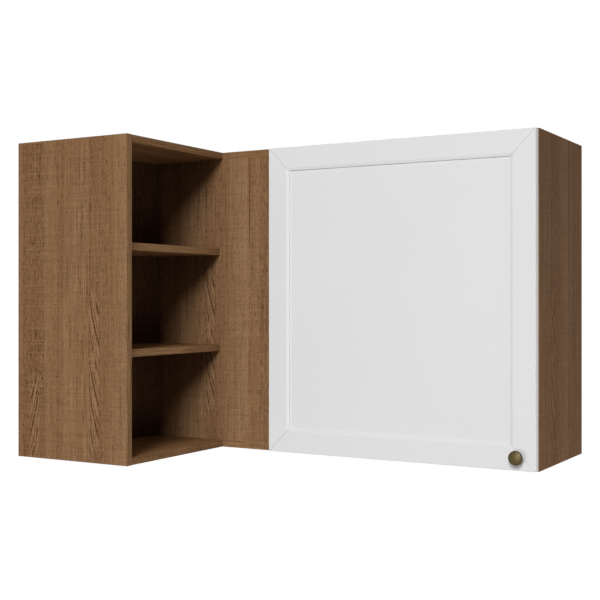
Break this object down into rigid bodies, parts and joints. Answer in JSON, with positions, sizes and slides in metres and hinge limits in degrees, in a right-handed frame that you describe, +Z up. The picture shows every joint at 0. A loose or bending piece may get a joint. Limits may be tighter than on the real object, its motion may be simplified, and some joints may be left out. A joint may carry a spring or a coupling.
{
  "type": "corner wall cabinet",
  "caption": "L-shaped corner wall cabinet: a wood-decor carcass with a white framed door and round knob, and an open wing of shelves that turns the corner.",
  "frame": {"origin": "on the back face that lies against the wall, half way along the cabinet and half way up the hanging rail behind it", "axes": "+X along the wall from the corner towards the hinged door's free edge, +Y into the wall, +Z up"},
  "size_m": [1.082, 0.6685, 0.7],
  "materials": {
    "decor_board": "matt printed wood decor on particle board, fine pores and cross saw marks",
    "back_board": "plain printed hardboard, matt",
    "door_paint": "smooth satin white lacquer on fibreboard",
    "knob_brass": "antique brass, dark patina with a worn rim",
    "plated_steel": "nickel plated pressed steel",
    "zinc_fitting": "dull zinc plate",
    "white_plastic": "matt moulded plastic"
  },
  "bodies": {
    "carcass": {"top_board": "decor_board", "bottom_board": "decor_board", "left_side": "decor_board", "right_side": "decor_board", "filler_panel": "decor_board", "hinge_stile": "decor_board", "hanging_rail": "decor_board", "inner_shelf": "decor_board", "end_panel": "decor_board", "niche_top_board": "decor_board", "niche_bottom_board": "decor_board", "niche_back_panel": "decor_board", "niche_shelf_1": "decor_board", "niche_shelf_2": "decor_board", "back_panel_left": "back_board", "back_panel_right": "back_board", "back_joiner": "white_plastic", "shelf_pin_left_front": "plated_steel", "shelf_pin_left_rear": "plated_steel", "shelf_pin_right_front": "plated_steel", "shelf_pin_right_rear": "plated_steel", "shelf_pin_middle": "plated_steel", "cam_bottom_front": "zinc_fitting", "cam_bottom_rear": "zinc_fitting", "cam_top_front": "zinc_fitting", "cam_top_rear": "zinc_fitting", "cam_bolt_bottom_front": "zinc_fitting", "cam_bolt_bottom_rear": "zinc_fitting", "cam_bolt_top_front": "zinc_fitting", "cam_bolt_top_rear": "zinc_fitting", "hinge_arm_lower": "plated_steel", "hinge_arm_upper": "plated_steel", "hinge_plate_lower": "plated_steel", "hinge_plate_upper": "plated_steel", "hinge_arm_lower_screw": "zinc_fitting", "hinge_arm_upper_screw": "zinc_fitting", "hinge_plate_lower_screw_lower": "zinc_fitting", "hinge_plate_lower_screw_upper": "zinc_fitting", "hinge_plate_upper_screw_lower": "zinc_fitting", "hinge_plate_upper_screw_upper": "zinc_fitting"},
    "door": {"door_stile_left": "door_paint", "door_stile_right": "door_paint", "door_rail_top": "door_paint", "door_rail_bottom": "door_paint", "door_panel": "door_paint", "door_knob": "knob_brass", "knob_screw": "zinc_fitting", "bumper_lower": "white_plastic", "bumper_upper": "white_plastic", "hinge_cup_lower": "plated_steel", "hinge_cup_upper": "plated_steel", "hinge_cup_lower_screw_lower": "zinc_fitting", "hinge_cup_lower_screw_upper": "zinc_fitting", "hinge_cup_upper_screw_lower": "zinc_fitting", "hinge_cup_upper_screw_upper": "zinc_fitting"},
    "hinge_links": {"hinge_link_lower": "plated_steel", "hinge_link_upper": "plated_steel"}
  },
  "joints": [
    {"name": "door_swing", "type": "hinge", "parent": "carcass", "child": "door", "pos_m": [-0.087, -0.31985, -0.299], "axis": [0, 0, -1], "range_deg": [0, 105]},
    {"name": "link_turn", "type": "hinge", "parent": "carcass", "child": "hinge_links", "pos_m": [-0.0581, -0.3053, -0.299], "axis": [0, 0, -1], "range_deg": [-32, 0]}
  ],
  "couplings": [
    {"joint": "link_turn", "follows": "door_swing", "ratio": -0.3}
  ]
}
